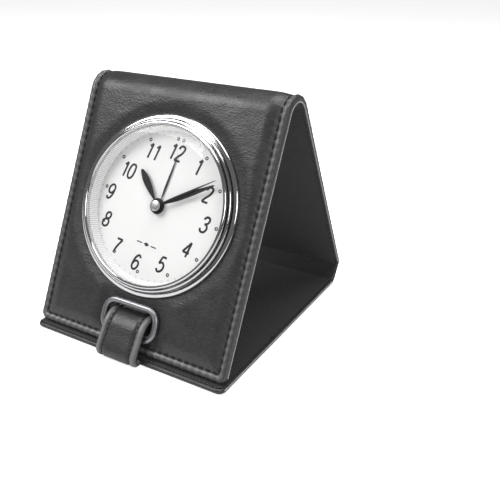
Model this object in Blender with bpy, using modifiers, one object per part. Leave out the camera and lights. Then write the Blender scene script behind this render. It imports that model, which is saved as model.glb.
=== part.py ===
"""Travel alarm clock in a folding leather case that stands as a tent. Metres, +Z up.

The case is one strip of leather over four stiff panels: base, spine, rear and front. The folds run
along X and the clock looks towards -Y. The origin is the centre of the base's underside.
Each panel has a frame, an empty on the panel's outer face:
  base, spine, rear   local Y runs along the strip, local Z points into the tent
  front               local Y runs up the panel from its foot, local Z points out of the clock
  clock               the front frame moved to the middle of the dial
"""

import math

import bmesh
import bpy
from mathutils import Vector

MM = 0.001

# The folded strip
CASE_WIDTH = 80 * MM
BASE_WIDTH = 81 * MM
BASE_LENGTH = 93.2 * MM
SPINE_LENGTH = 9.76 * MM
REAR_LENGTH = 87.9 * MM
FRONT_LENGTH = 87.4 * MM
SPINE_ANGLE = math.radians(58.4)
REAR_ANGLE = math.radians(121.4)
FRONT_TILT = math.radians(24.7)
FOLD_RADIUS = 8 * MM
FOLD_AXIS_RISE = 3 * MM
CREASE_CUTBACK = 1.5 * MM
FLEX_THICKNESS = 1.0 * MM
PANEL_CORNER = 2.5 * MM
CREASE_CORNER = 0.4 * MM
GAP = 0.3 * MM
LAYER_GAP = 0.12 * MM

# Layers of a panel, from its outer face inwards
SKIN = 0.6 * MM
LINING = 0.4 * MM
TURNED_EDGE = 1.2 * MM
BASE_THICKNESS = 1.8 * MM
SPINE_THICKNESS = 1.8 * MM
REAR_THICKNESS = 2.4 * MM
FRONT_THICKNESS = 2.8 * MM
FOAM = 0.6 * MM

# Strap, its slot in the front panel and its keeper on the rear panel
STRAP_WIDTH = 17.8 * MM
STRAP_THICKNESS = 2.0 * MM
STRAP_ROOT = (-0.4 * MM, 1.3 * MM)
SLOT_RISE = 10.4 * MM
SLOT_SIZE = (19.6 * MM, 8.9 * MM)
SLOT_CORNER = 3.2 * MM
RING_WIRE = 1.0 * MM
RING_LIFT = 1.15 * MM
KEEPER_FROM_FOLD = 12 * MM
KEEPER_WIDTH = 8 * MM
KEEPER_THICKNESS = 0.9 * MM
KEEPER_INSIDE = 20.5 * MM
KEEPER_CLEAR = 2.6 * MM
KEEPER_FOOT = 2.4 * MM

# Clock insert, heights along the dial's normal from the front panel's outer face
CLOCK_RISE = 50.6 * MM
BEZEL_RADIUS = 31.5 * MM
APERTURE_RADIUS = 27.2 * MM
SKIRT_RADIUS = 29.2 * MM
SKIRT_INNER = 28.3 * MM
PANEL_HOLE = 29.7 * MM
CASE_RADIUS = 27.9 * MM
CASE_INNER = 26.4 * MM
DIAL_TOP = -1.2 * MM
DIAL_THICKNESS = 0.4 * MM
DIAL_TURN = math.radians(-6.6)
LENS_UNDER = 2.3 * MM
LENS_THICKNESS = 1.0 * MM
CASE_FRONT = -1.75 * MM
CASE_BACK = -9.1 * MM
COVER_BACK = -10.4 * MM
PLATE_TOP = -1.9 * MM
PLATE_THICKNESS = 1.0 * MM
KNOB_TOP = -10.7 * MM
KNOB_BOTTOM = -12.4 * MM

# Train layout, (across, up) from the dial's middle
MOTION_PLACE = (6.5 * MM, 6.1 * MM)
ALARM_PLACE = (8.5 * MM, -3.9 * MM)
THIRD_PLACE = (-1.0 * MM, -8.0 * MM)
ROTOR_PLACE = (-9.5 * MM, 3.0 * MM)
CELL_PLACE = (-13 * MM, -10 * MM)
BUZZER_PLACE = (13 * MM, -13 * MM)
SWITCH_PLACE = (-3 * MM, 20 * MM)
SCREW_CIRCLE = 23.2 * MM
SCREW_ANGLES = [math.radians(degrees) for degrees in (35, 150, 265)]

# Hands: length, half width at the broadest place, thickness, height of the underside, hour on the dial
HOUR_HAND = (15 * MM, 1.0 * MM, 0.25 * MM, -0.3 * MM, 10.42)
MINUTE_HAND = (23.2 * MM, 0.65 * MM, 0.2 * MM, 0.35 * MM, 1.84)
SECOND_HAND = (24.4 * MM, 0.23 * MM, 0.2 * MM, 0.95 * MM, 1.74)
ALARM_HAND = (18.9 * MM, 0.23 * MM, 0.15 * MM, -0.85 * MM, 0.1)

ROUND = 64
SMALL_ROUND = 24

MATERIALS = {
    "leather": ((0.022, 0.022, 0.024), 0.42, 0.0),
    "lining": ((0.035, 0.035, 0.037), 0.7, 0.0),
    "board": ((0.36, 0.33, 0.28), 0.9, 0.0),
    "foam": ((0.12, 0.12, 0.12), 0.95, 0.0),
    "chrome": ((0.78, 0.78, 0.79), 0.12, 1.0),
    "gunmetal": ((0.32, 0.32, 0.33), 0.3, 1.0),
    "lens": ((0.92, 0.94, 0.95), 0.05, 0.0),
    "dial_white": ((0.8, 0.8, 0.79), 0.5, 0.0),
    "black_plastic": ((0.03, 0.03, 0.032), 0.4, 0.0),
    "hand_black": ((0.015, 0.015, 0.016), 0.35, 0.2),
    "silver": ((0.7, 0.7, 0.71), 0.25, 1.0),
    "brass": ((0.7, 0.52, 0.25), 0.3, 1.0),
    "copper": ((0.72, 0.36, 0.2), 0.35, 1.0),
    "steel": ((0.55, 0.55, 0.56), 0.3, 1.0),
    "green_board": ((0.05, 0.2, 0.1), 0.5, 0.0),
    "gear_plastic": ((0.75, 0.73, 0.66), 0.5, 0.0),
}


def clear_scene():
    for obj in list(bpy.data.objects):
        bpy.data.objects.remove(obj)


def new_collection(name):
    found = bpy.data.collections.new(name)
    bpy.context.scene.collection.children.link(found)
    return found


def make_material(name):
    colour, roughness, metallic = MATERIALS[name]
    made = bpy.data.materials.new(name)
    made.use_nodes = True
    shader = made.node_tree.nodes["Principled BSDF"]
    shader.inputs["Base Color"].default_value = (*colour, 1)
    shader.inputs["Roughness"].default_value = roughness
    shader.inputs["Metallic"].default_value = metallic
    return made


def frame(name, location, angle, parent=None):
    """An empty turned about X, on which the pieces of one panel are placed."""
    empty = bpy.data.objects.new(name, None)
    frames.objects.link(empty)
    empty.location = location
    empty.rotation_euler = (angle, 0, 0)
    empty.parent = parent
    return empty


def place(obj, parent, material, location=(0, 0, 0), turn=0.0):
    """Links a piece, gives it its material and sets it in its frame."""
    parts.objects.link(obj)
    obj.parent = parent
    obj.location = location
    obj.rotation_euler = (0, 0, turn)
    obj.data.materials.append(palette[material])
    return obj


def cutter(obj, parent, location=(0, 0, 0)):
    cutters.objects.link(obj)
    obj.parent = parent
    obj.location = location
    obj.hide_render = True
    obj.display_type = "WIRE"
    return obj


def combine(obj, tool, operation="DIFFERENCE"):
    modifier = obj.modifiers.new(tool.name, "BOOLEAN")
    modifier.operation = operation
    modifier.object = tool
    modifier.solver = "EXACT"


def mesh_object(name, bm, smooth=False):
    mesh = bpy.data.meshes.new(name)
    bm.to_mesh(mesh)
    bm.free()
    if smooth:
        mesh.shade_smooth()
        mesh.set_sharp_from_angle(angle=math.radians(35))
    return bpy.data.objects.new(name, mesh)


def block(name, x, y, z, corner=0.0):
    """A box between the pairs x, y and z, its upright edges rounded to the corner radius."""
    bm = bmesh.new()
    bmesh.ops.create_cube(bm, size=1)
    low = Vector((x[0], y[0], z[0]))
    size = Vector((x[1], y[1], z[1])) - low
    for vert in bm.verts:
        vert.co = low + Vector(size[i] * (vert.co[i] + 0.5) for i in range(3))
    if corner:
        upright = [e for e in bm.edges if abs(e.verts[0].co.z - e.verts[1].co.z) > size.z / 2]
        bmesh.ops.bevel(bm, geom=upright, offset=corner, segments=4, profile=0.5, affect="EDGES")
    return mesh_object(name, bm)


def disc(name, radius, bottom, top, segments=SMALL_ROUND, centre=(0, 0)):
    """A cylinder along Z."""
    bm = bmesh.new()
    bmesh.ops.create_cone(bm, cap_ends=True, segments=segments, radius1=radius, radius2=radius,
                          depth=top - bottom)
    bmesh.ops.translate(bm, verts=bm.verts, vec=(*centre, (bottom + top) / 2))
    return mesh_object(name, bm, smooth=True)


def turned(name, profile, closed=True, segments=ROUND):
    """A turned piece from (radius, height) points that run down its outer side."""
    bm = bmesh.new()
    verts = [bm.verts.new((radius, 0, height)) for radius, height in profile]
    pairs = list(zip(verts, verts[1:]))
    if closed:
        pairs.append((verts[-1], verts[0]))
    for pair in pairs:
        bm.edges.new(pair)
    obj = mesh_object(name, bm)
    screw = obj.modifiers.new("turn", "SCREW")
    screw.axis = "Z"
    screw.steps = segments
    screw.render_steps = segments
    screw.use_merge_vertices = True
    screw.merge_threshold = 0.00001
    screw.use_smooth_shade = True
    return obj


def tube_profile(outer, inner, top, bottom):
    return [(outer, top), (outer, bottom), (inner, bottom), (inner, top)]


def wheel(name, disc_radius, disc_span, pipe_outer, pipe_inner, pipe_top):
    """A wheel on a pipe: the disc is disc_span = (bottom, top), the pipe rises to pipe_top."""
    bottom, top = disc_span
    profile = [(pipe_outer, pipe_top), (pipe_outer, top), (disc_radius, top), (disc_radius, bottom)]
    if pipe_inner:
        return turned(name, profile + [(pipe_inner, bottom), (pipe_inner, pipe_top)], segments=SMALL_ROUND)
    return turned(name, [(0, pipe_top)] + profile + [(0, bottom)], closed=False, segments=SMALL_ROUND)


def circle(radius, segments=SMALL_ROUND, start=0.0, sweep=math.tau):
    return [(radius * math.cos(start + sweep * i / segments), radius * math.sin(start + sweep * i / segments))
            for i in range(segments + (sweep < math.tau))]


def flat_piece(name, outlines, bottom, top):
    """A flat piece from closed outlines: the first is its edge, the others are holes."""
    curve = bpy.data.curves.new(name, "CURVE")
    curve.dimensions = "2D"
    curve.fill_mode = "BOTH"
    curve.extrude = (top - bottom) / 2
    for outline in outlines:
        spline = curve.splines.new("POLY")
        spline.points.add(len(outline) - 1)
        for point, (across, up) in zip(spline.points, outline):
            point.co = (across, up, 0, 1)
        spline.use_cyclic_u = True
    obj = bpy.data.objects.new(name, curve)
    return obj, (bottom + top) / 2


def ribbon(name, path, width, thickness, axis=0):
    """A strip along the path in the plane across the axis (0 for X, 1 for Y), the path in its middle."""
    bm = bmesh.new()
    rows = []
    for across, up in path:
        row = []
        for side in (-width / 2, width / 2):
            where = (side, across, up) if axis == 0 else (across, side, up)
            row.append(bm.verts.new(where))
        rows.append(row)
    for (a, b), (c, d) in zip(rows, rows[1:]):
        bm.faces.new((a, b, d, c))
    obj = mesh_object(name, bm, smooth=True)
    shell = obj.modifiers.new("thickness", "SOLIDIFY")
    shell.thickness = thickness
    shell.offset = 0
    shell.use_even_offset = True
    return obj


def smooth_path(points, steps=3):
    """A Catmull-Rom curve through the points."""
    padded = [points[0]] + list(points) + [points[-1]]
    path = []
    for a, b, c, d in zip(padded, padded[1:], padded[2:], padded[3:]):
        for i in range(steps):
            u = i / steps
            path.append(tuple(
                0.5 * (2 * q + (r - p) * u + (2 * p - 5 * q + 4 * r - s) * u * u
                       + (3 * q - p - 3 * r + s) * u ** 3)
                for p, q, r, s in zip(a, b, c, d)))
    return path + [tuple(points[-1])]


# The strip's geometry

def along(start, angle, length):
    """The point at a length from start, both as (y, z), the angle counted from +Y."""
    return (start[0] + length * math.cos(angle), start[1] + length * math.sin(angle))


def strip_points():
    """The (y, z) of each corner of the outer face, and the middle and the axis of the top fold."""
    points = {"base": (-BASE_LENGTH / 2, 0.0), "lower": (BASE_LENGTH / 2, 0.0)}
    points["upper"] = along(points["lower"], SPINE_ANGLE, SPINE_LENGTH)
    points["rear_top"] = along(points["upper"], REAR_ANGLE, REAR_LENGTH)
    points["fold_middle"] = along(points["rear_top"], REAR_ANGLE + math.pi / 2, FOLD_RADIUS)
    front_up = math.pi / 2 - FRONT_TILT
    points["front_top"] = along(points["fold_middle"], front_up + math.pi / 2, FOLD_RADIUS)
    points["foot"] = along(points["front_top"], front_up, -FRONT_LENGTH)
    bisector = (REAR_ANGLE - math.pi / 2 + front_up + math.pi / 2) / 2
    points["fold_axis"] = along(points["fold_middle"], bisector, FOLD_AXIS_RISE)
    return points


def make_frames(points):
    made = {}
    for name, corner, angle in (("base", "base", 0.0), ("spine", "lower", SPINE_ANGLE),
                                ("rear", "upper", REAR_ANGLE)):
        made[name] = frame(name + "_frame", (0, *points[corner]), angle)
    made["fold"] = frame("front_hinge", (0, *points["fold_axis"]), 0.0)
    foot = Vector((0, *points["foot"])) - Vector((0, *points["fold_axis"]))
    made["front"] = frame("front_frame", foot, math.pi / 2 - FRONT_TILT, made["fold"])
    made["clock"] = frame("clock_frame", (0, CLOCK_RISE, 0), 0.0, made["front"])
    return made


# The case

def panel(name, at, width, length, thickness, corner, cutbacks=(0.0, 0.0)):
    """A panel's cover, board and lining. Its cover is a tray whose rim is the turned-in edge."""
    low, high = cutbacks[0], length - cutbacks[1]
    half = width / 2
    cover = place(block(name + "_cover", (-half, half), (low, high), (0, thickness), corner), at, "leather")
    inner = half - TURNED_EDGE
    rows = (low + TURNED_EDGE, high - TURNED_EDGE)
    pocket = block(name + "_pocket", (-inner, inner), rows, (SKIN, thickness + GAP))
    combine(cover, cutter(pocket, at))
    x = (-inner + LAYER_GAP, inner - LAYER_GAP)
    y = (rows[0] + LAYER_GAP, rows[1] - LAYER_GAP)
    board_top = thickness - LINING - LAYER_GAP
    place(block(name + "_board", x, y, (SKIN + LAYER_GAP, board_top)), at, "board")
    place(block(name + "_lining", x, y, (thickness - LINING, thickness)), at, "lining")


def front_panel(at):
    """The padded front panel: four layers, each with the clock's hole and the strap's slot."""
    half = CASE_WIDTH / 2
    depth = FRONT_THICKNESS
    hole = cutter(disc("clock_hole", PANEL_HOLE, -2 * depth, depth, ROUND, (0, CLOCK_RISE)), at)
    slot_half = (SLOT_SIZE[0] / 2, SLOT_SIZE[1] / 2)
    slot = block("strap_slot", (-slot_half[0], slot_half[0]),
                 (SLOT_RISE - slot_half[1], SLOT_RISE + slot_half[1]), (-2 * depth, depth), SLOT_CORNER)
    cutter(slot, at)
    x = (-half + TURNED_EDGE, half - TURNED_EDGE)
    y = (TURNED_EDGE, FRONT_LENGTH - TURNED_EDGE)
    cover = block("front_cover", (-half, half), (0, FRONT_LENGTH), (-depth, 0), PANEL_CORNER)
    place(cover, at, "leather")
    combine(cover, cutter(block("front_pocket", x, y, (-depth - GAP, -SKIN)), at))
    foam_bottom = -SKIN - LAYER_GAP - FOAM
    layers = {
        "front_foam": ("foam", foam_bottom, -SKIN - LAYER_GAP),
        "front_board": ("board", -depth + LINING + LAYER_GAP, foam_bottom - LAYER_GAP),
        "front_lining": ("lining", -depth, -depth + LINING),
    }
    inset_x = (x[0] + LAYER_GAP, x[1] - LAYER_GAP)
    inset_y = (y[0] + LAYER_GAP, y[1] - LAYER_GAP)
    pieces = [cover]
    for name, (material, bottom, top) in layers.items():
        pieces.append(place(block(name, inset_x, inset_y, (bottom, top)), at, material))
    for piece in pieces:
        combine(piece, hole)
        combine(piece, slot)


def arc_path(middle, radius, start, end, steps):
    return [along(middle, start + (end - start) * i / steps, radius) for i in range(steps + 1)]


def top_fold(points):
    """The flexible stretch between the rear and the front panel, a round fold."""
    start = REAR_ANGLE - math.pi / 2
    end = math.pi - FRONT_TILT
    margin = GAP / FOLD_RADIUS
    path = arc_path(points["fold_middle"], FOLD_RADIUS - FLEX_THICKNESS, start + margin, end - margin, 14)
    fold = ribbon("top_fold", path, CASE_WIDTH, 2 * FLEX_THICKNESS)
    place(fold, None, "leather")


def crease(name, corner, before, after, at):
    """The flexible corner between two panels, a short bent strip on the outer face."""
    reach = CREASE_CUTBACK - GAP
    bend = after - before
    radius = reach / math.tan(bend / 2) * 0.9
    setback = radius * math.tan(bend / 2)
    start = along(corner, before, -setback)
    middle = along(start, before + math.pi / 2, radius)
    path = arc_path(middle, radius - FLEX_THICKNESS / 2, before - math.pi / 2, after - math.pi / 2, 6)
    place(ribbon(name, path, CASE_WIDTH - 2 * GAP, FLEX_THICKNESS), at, "leather")


def keeper(at):
    """The leather loop on the rear panel's outer face that holds the strap's end when the case is shut."""
    half = KEEPER_INSIDE / 2
    low = -GAP - KEEPER_THICKNESS / 2
    high = -KEEPER_CLEAR - KEEPER_THICKNESS
    slope = 0.5 * MM
    right = [(half - slope, high), (half, high + slope), (half + slope, low), (half + KEEPER_FOOT, low)]
    left = [(-across, up) for across, up in reversed(right)]
    loop = ribbon("keeper_loop", left + right, KEEPER_WIDTH, KEEPER_THICKNESS, axis=1)
    place(loop, at, "leather", (0, REAR_LENGTH - KEEPER_FROM_FOLD, 0))


def rounded_outline(width, height, corner, steps=5):
    """A rectangle with round corners about the origin, anticlockwise."""
    points = []
    for turn, (sx, sy) in enumerate(((1, 1), (-1, 1), (-1, -1), (1, -1))):
        middle = (sx * (width / 2 - corner), sy * (height / 2 - corner))
        for i in range(steps + 1):
            angle = math.pi / 2 * (turn + i / steps)
            points.append((middle[0] + corner * math.cos(angle), middle[1] + corner * math.sin(angle)))
    return points


def slot_metal(at):
    """The wire ring round the slot and the washer it is clinched to behind the panel."""
    curve = bpy.data.curves.new("slot_ring", "CURVE")
    curve.dimensions = "3D"
    curve.bevel_depth = RING_WIRE
    curve.bevel_resolution = 2
    spline = curve.splines.new("POLY")
    wide, tall = SLOT_SIZE[0] + 2 * RING_WIRE, SLOT_SIZE[1] + 2 * RING_WIRE
    outline = rounded_outline(wide, tall, SLOT_CORNER + RING_WIRE)
    spline.points.add(len(outline) - 1)
    for point, (across, up) in zip(spline.points, outline):
        point.co = (across, up, 0, 1)
    spline.use_cyclic_u = True
    ring = bpy.data.objects.new("slot_ring", curve)
    place(ring, at, "gunmetal", (0, SLOT_RISE, RING_LIFT))
    top = -FRONT_THICKNESS - LAYER_GAP
    outlines = [rounded_outline(wide + 2 * RING_WIRE, tall + 2 * RING_WIRE, SLOT_CORNER + 2 * RING_WIRE),
                rounded_outline(*SLOT_SIZE, SLOT_CORNER)]
    washer, height = flat_piece("slot_washer", outlines, top - 0.5 * MM, top)
    place(washer, at, "steel", (0, SLOT_RISE, height))


def strap(points):
    """The closing strap, from the base's front edge up over the foot and through the slot."""
    base = points["base"]
    foot = points["foot"]
    up = math.pi / 2 - FRONT_TILT
    root = [(base[0] + y, z) for y, z in (STRAP_ROOT, (-2.4 * MM, 1.75 * MM), (-2.9 * MM, 3.6 * MM))]
    # (up the front panel, out of its face)
    rises = ((0.9, 4.6), (4.8, 4.0), (8.4, 3.4), (11.3, 1.7), (12.7, -1.2), (12.8, -4.8), (12.6, -9.0),
             (12.2, -14.0), (12.0, -20.0))
    run = [along(along(foot, up, rise * MM), up + math.pi / 2, out * MM) for rise, out in rises]
    origin = root[0]
    path = smooth_path([(y - origin[0], z - origin[1]) for y, z in root + run])
    band = ribbon("strap", path, STRAP_WIDTH, STRAP_THICKNESS)
    place(band, None, "leather", (0, *origin))


# The clock insert

def bezel(at):
    rim = BEZEL_RADIUS
    lip = APERTURE_RADIUS
    seat = LENS_UNDER + LENS_THICKNESS + LAYER_GAP
    profile = [
        (lip + 0.6 * MM, 4.3 * MM), (lip + 1.4 * MM, 4.1 * MM), (lip + 1.8 * MM, 3.3 * MM),
        (lip + 2.6 * MM, 3.0 * MM), (lip + 3.0 * MM, 2.1 * MM), (rim - 0.5 * MM, 1.75 * MM),
        (rim, 1.3 * MM), (rim, GAP), (SKIRT_RADIUS, GAP), (SKIRT_RADIUS, -4.6 * MM),
        (SKIRT_INNER, -4.6 * MM), (SKIRT_INNER, seat), (lip, seat), (lip, 4.0 * MM),
    ]
    place(turned("bezel", profile), at, "chrome")


def lens(at):
    edge = SKIRT_INNER - 0.15 * MM
    top = LENS_UNDER + LENS_THICKNESS
    profile = [(0, top + 0.45 * MM), (10 * MM, top + 0.4 * MM), (20 * MM, top + 0.2 * MM),
               (APERTURE_RADIUS - 0.4 * MM, top), (edge, top), (edge, LENS_UNDER), (0, LENS_UNDER)]
    place(turned("lens", profile, closed=False), at, "lens")


def dial(at):
    outlines = [circle(CASE_RADIUS, ROUND), circle(2.1 * MM)]
    plate, height = flat_piece("dial", outlines, DIAL_TOP - DIAL_THICKNESS, DIAL_TOP)
    place(plate, at, "dial_white", (0, 0, height), DIAL_TURN)
    top = LENS_UNDER - LAYER_GAP
    bottom = DIAL_TOP + LAYER_GAP
    profile = [(CASE_RADIUS, top), (CASE_RADIUS, bottom), (APERTURE_RADIUS - 0.3 * MM, bottom),
               (APERTURE_RADIUS + 0.1 * MM, top)]
    place(turned("dial_ring", profile), at, "silver")


def housing(at):
    """The plastic case: wall, back cover with its openings, retaining ring and screws."""
    wall = tube_profile(CASE_RADIUS, CASE_INNER, CASE_FRONT, CASE_BACK)
    place(turned("case_wall", wall), at, "black_plastic")
    ring_top = -FRONT_THICKNESS - 2 * LAYER_GAP
    ring = tube_profile(BEZEL_RADIUS + 1.5 * MM, SKIRT_RADIUS + GAP, ring_top, ring_top - 1.1 * MM)
    place(turned("retaining_ring", ring), at, "black_plastic")
    cover_top = CASE_BACK - LAYER_GAP
    cover = place(disc("back_cover", CASE_RADIUS, COVER_BACK, cover_top, ROUND), at, "black_plastic")
    deep = (COVER_BACK - GAP, cover_top + GAP)
    openings = [disc("time_bore", 1.1 * MM, *deep, centre=MOTION_PLACE),
                disc("alarm_bore", 1.1 * MM, *deep, centre=ALARM_PLACE),
                disc("cell_bore", 6.9 * MM, *deep, centre=CELL_PLACE)]
    x, y = SWITCH_PLACE
    openings.append(block("switch_way", (x - 1.6 * MM, x + 5.6 * MM), (y - 1.1 * MM, y + 1.1 * MM), deep))
    x, y = BUZZER_PLACE
    for row in range(-2, 3):
        middle = y + row * 2 * MM
        openings.append(block(f"sound_slit_{row + 3}", (x - 4 * MM, x + 4 * MM),
                              (middle - 0.4 * MM, middle + 0.4 * MM), deep))
    for index, angle in enumerate(SCREW_ANGLES):
        centre = (SCREW_CIRCLE * math.cos(angle), SCREW_CIRCLE * math.sin(angle))
        openings.append(disc(f"screw_bore_{index + 1}", 0.9 * MM, *deep, centre=centre))
    for opening in openings:
        combine(cover, cutter(opening, at))


def case_screws(at):
    """Three round-head screws through the back cover into the plate's pillars."""
    head_top = COVER_BACK - 0.15 * MM
    profile = [(0, CASE_BACK + 3 * MM), (0.6 * MM, CASE_BACK + 3 * MM), (0.6 * MM, head_top),
               (1.5 * MM, head_top), (1.5 * MM, head_top - 0.4 * MM), (0.9 * MM, head_top - 0.6 * MM),
               (0, head_top - 0.6 * MM)]
    for index, angle in enumerate(SCREW_ANGLES):
        screw = turned(f"case_screw_{index + 1}", profile, closed=False, segments=16)
        where = (SCREW_CIRCLE * math.cos(angle), SCREW_CIRCLE * math.sin(angle), 0)
        place(screw, at, "steel", where)


def movement_plate(at):
    """The plate that carries the train, with a pillar for each screw."""
    low = PLATE_TOP - PLATE_THICKNESS
    plate = disc("movement_plate", CASE_INNER - 0.2 * MM, low, PLATE_TOP, ROUND)
    place(plate, at, "gear_plastic")
    combine(plate, cutter(disc("hands_bore", 2.1 * MM, low - GAP, PLATE_TOP + GAP), at))
    for index, angle in enumerate(SCREW_ANGLES):
        centre = (SCREW_CIRCLE * math.cos(angle), SCREW_CIRCLE * math.sin(angle))
        pillar = disc(f"pillar_{index + 1}", 1.9 * MM, CASE_BACK + GAP, low + 0.2 * MM, centre=centre)
        combine(plate, cutter(pillar, at), "UNION")
        bore = disc(f"pillar_bore_{index + 1}", 0.9 * MM, CASE_BACK, low - 0.2 * MM, centre=centre)
        combine(plate, cutter(bore, at))


def hand_outline(length, half_width, hub, broadest):
    """A pointer up local Y from a round hub: it swells to its half width at the broadest fraction."""
    neck = 0.45 * half_width
    start = math.asin(neck / hub)
    edge = circle(hub, 20, math.pi / 2 + start, math.tau - 2 * start)
    swell = length * broadest
    tip = 0.35 * half_width
    return edge + [(half_width, swell), (tip, length - tip), (0, length), (-tip, length - tip),
                   (-half_width, swell)]


def hand(name, at, size, hub, bore, broadest, material):
    length, half_width, thickness, height, hour = size
    outlines = [hand_outline(length, half_width, hub, broadest), circle(bore)]
    piece, middle = flat_piece(name, outlines, height, height + thickness)
    place(piece, at, material, (0, 0, middle), DIAL_TURN - hour / 12 * math.tau)


def hands(at):
    """Four hands, each on its own pipe, one inside the other."""
    hand("alarm_hand", at, ALARM_HAND, 2.4 * MM, 1.9 * MM, 0.3, "hand_black")
    hand("hour_hand", at, HOUR_HAND, 2.8 * MM, 1.35 * MM, 0.62, "hand_black")
    hand("minute_hand", at, MINUTE_HAND, 2.2 * MM, 0.85 * MM, 0.5, "hand_black")
    hand("second_hand", at, SECOND_HAND, 1.6 * MM, 0.4 * MM, 0.3, "hand_black")
    drop = 0.05 * MM
    alarm = wheel("alarm_wheel", 6 * MM, (-3.7 * MM, -3.2 * MM), 1.8 * MM, 1.4 * MM, ALARM_HAND[3] + drop)
    place(alarm, at, "gear_plastic")
    hour_top = HOUR_HAND[3] + HOUR_HAND[2]
    place(wheel("hour_wheel", 5 * MM, (-4.5 * MM, -4 * MM), 1.25 * MM, 0.9 * MM, hour_top), at, "gear_plastic")
    minute_top = MINUTE_HAND[3] + MINUTE_HAND[2]
    place(wheel("minute_arbor", 4 * MM, (-5.3 * MM, -4.8 * MM), 0.75 * MM, 0.45 * MM, minute_top), at, "brass")
    second_top = SECOND_HAND[3] + SECOND_HAND[2]
    place(wheel("second_arbor", 4.5 * MM, (-6.1 * MM, -5.6 * MM), 0.3 * MM, 0, second_top + drop), at, "steel")
    cap_low = second_top + 0.15 * MM
    cap = [(0, cap_low + 0.5 * MM), (1.4 * MM, cap_low + 0.4 * MM), (2 * MM, cap_low), (0, cap_low)]
    place(turned("second_cap", cap, closed=False, segments=SMALL_ROUND), at, "silver")


def train(at):
    """The wheels and the motor behind the movement plate."""
    third = wheel("third_wheel", 3.2 * MM, (-6.1 * MM, -5.6 * MM), 0.6 * MM, 0, PLATE_TOP - 1.2 * MM)
    place(third, at, "gear_plastic", (*THIRD_PLACE, 0))
    for name, where, disc_span in (("motion_wheel", MOTION_PLACE, (-4.5 * MM, -4 * MM)),
                                   ("alarm_set_wheel", ALARM_PLACE, (-3.7 * MM, -3.2 * MM))):
        bottom, top = disc_span
        radius = 3.2 * MM if name == "motion_wheel" else 3.0 * MM
        profile = [(0, top), (radius, top), (radius, bottom), (0.8 * MM, bottom),
                   (0.8 * MM, KNOB_TOP + LAYER_GAP), (0, KNOB_TOP + LAYER_GAP)]
        made = turned(name, profile, closed=False, segments=SMALL_ROUND)
        place(made, at, "gear_plastic", (*where, 0))
    rotor = [(0, -4.2 * MM), (0.4 * MM, -4.2 * MM), (1.5 * MM, -4.4 * MM), (1.5 * MM, -5.4 * MM),
             (0.4 * MM, -5.6 * MM), (0, -5.6 * MM)]
    place(turned("rotor", rotor, closed=False, segments=SMALL_ROUND), at, "steel", (*ROTOR_PLACE, 0))
    x, y = ROTOR_PLACE
    stator = block("stator", (x - 9 * MM, x + 3.2 * MM), (y - 2.5 * MM, y + 2.5 * MM), (-5.2 * MM, -4.6 * MM))
    place(stator, at, "steel")
    combine(stator, cutter(disc("rotor_bore", 2 * MM, -6 * MM, -4 * MM, centre=ROTOR_PLACE), at))
    coil = disc("coil", 2 * MM, -5 * MM, 5 * MM)
    place(coil, at, "copper", (x - 4 * MM, y + 5.2 * MM, -5.2 * MM))
    coil.rotation_euler = (0, math.pi / 2, 0)


def knob(name, at, where):
    """A set knob: a round body with twelve grooves round its grip."""
    outer, inner, count = 3.6 * MM, 3.3 * MM, 12
    outline = []
    for i in range(2 * count):
        start = math.pi * i / count
        radius = outer if i % 2 == 0 else inner
        outline += [(radius * math.cos(a), radius * math.sin(a))
                    for a in (start + 0.03, start + math.pi / count - 0.03)]
    piece, middle = flat_piece(name, [outline], KNOB_BOTTOM, KNOB_TOP)
    place(piece, at, "black_plastic", (*where, middle))


def controls(at):
    knob("time_set_knob", at, MOTION_PLACE)
    knob("alarm_set_knob", at, ALARM_PLACE)
    x, y = SWITCH_PLACE
    low = COVER_BACK - 1.2 * MM
    slider = block("alarm_switch", (-1.3 * MM, 1.3 * MM), (-0.8 * MM, 0.8 * MM), (low, CASE_BACK + 1 * MM))
    place(slider, at, "silver", (x, y, 0))
    door = disc("battery_door", 6.5 * MM, COVER_BACK - 0.1 * MM, CASE_BACK - 0.25 * MM)
    place(door, at, "black_plastic", (*CELL_PLACE, 0))
    slit = block("coin_slit", (-3.5 * MM, 3.5 * MM), (-0.6 * MM, 0.6 * MM),
                 (COVER_BACK - 1 * MM, COVER_BACK + 0.5 * MM))
    combine(door, cutter(slit, at, (*CELL_PLACE, 0)))


def electrics(at):
    """Button cell and its contacts, buzzer, and circuit board with the crystal's can."""
    x, y = CELL_PLACE
    place(disc("battery_cell", 5.8 * MM, -8.9 * MM, -3.5 * MM), at, "steel", (x, y, 0))
    front = block("front_contact", (x - 3 * MM, x + 3 * MM), (y - 3 * MM, y + 3 * MM), (-3.3 * MM, -3.05 * MM))
    place(front, at, "brass")
    side_y = y - 5.8 * MM - 0.25 * MM
    side = block("side_contact", (x - 2 * MM, x + 2 * MM), (side_y - 0.3 * MM, side_y), (-8 * MM, -4 * MM))
    place(side, at, "brass")
    place(disc("buzzer", 6.5 * MM, -8.8 * MM, -6.3 * MM), at, "brass", (*BUZZER_PLACE, 0))
    board = block("circuit_board", (-11 * MM, 11 * MM), (11.5 * MM, 18 * MM), (-5.4 * MM, -4.6 * MM))
    place(board, at, "green_board")
    can = disc("crystal_can", 1 * MM, -3 * MM, 3 * MM)
    place(can, at, "silver", (4 * MM, 14.5 * MM, -6.6 * MM))
    can.rotation_euler = (0, math.pi / 2, 0)


clear_scene()
parts = new_collection("travel_alarm_clock")
cutters = new_collection("cutters")
frames = new_collection("frames")
palette = {name: make_material(name) for name in MATERIALS}
corners = strip_points()
at = make_frames(corners)

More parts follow.
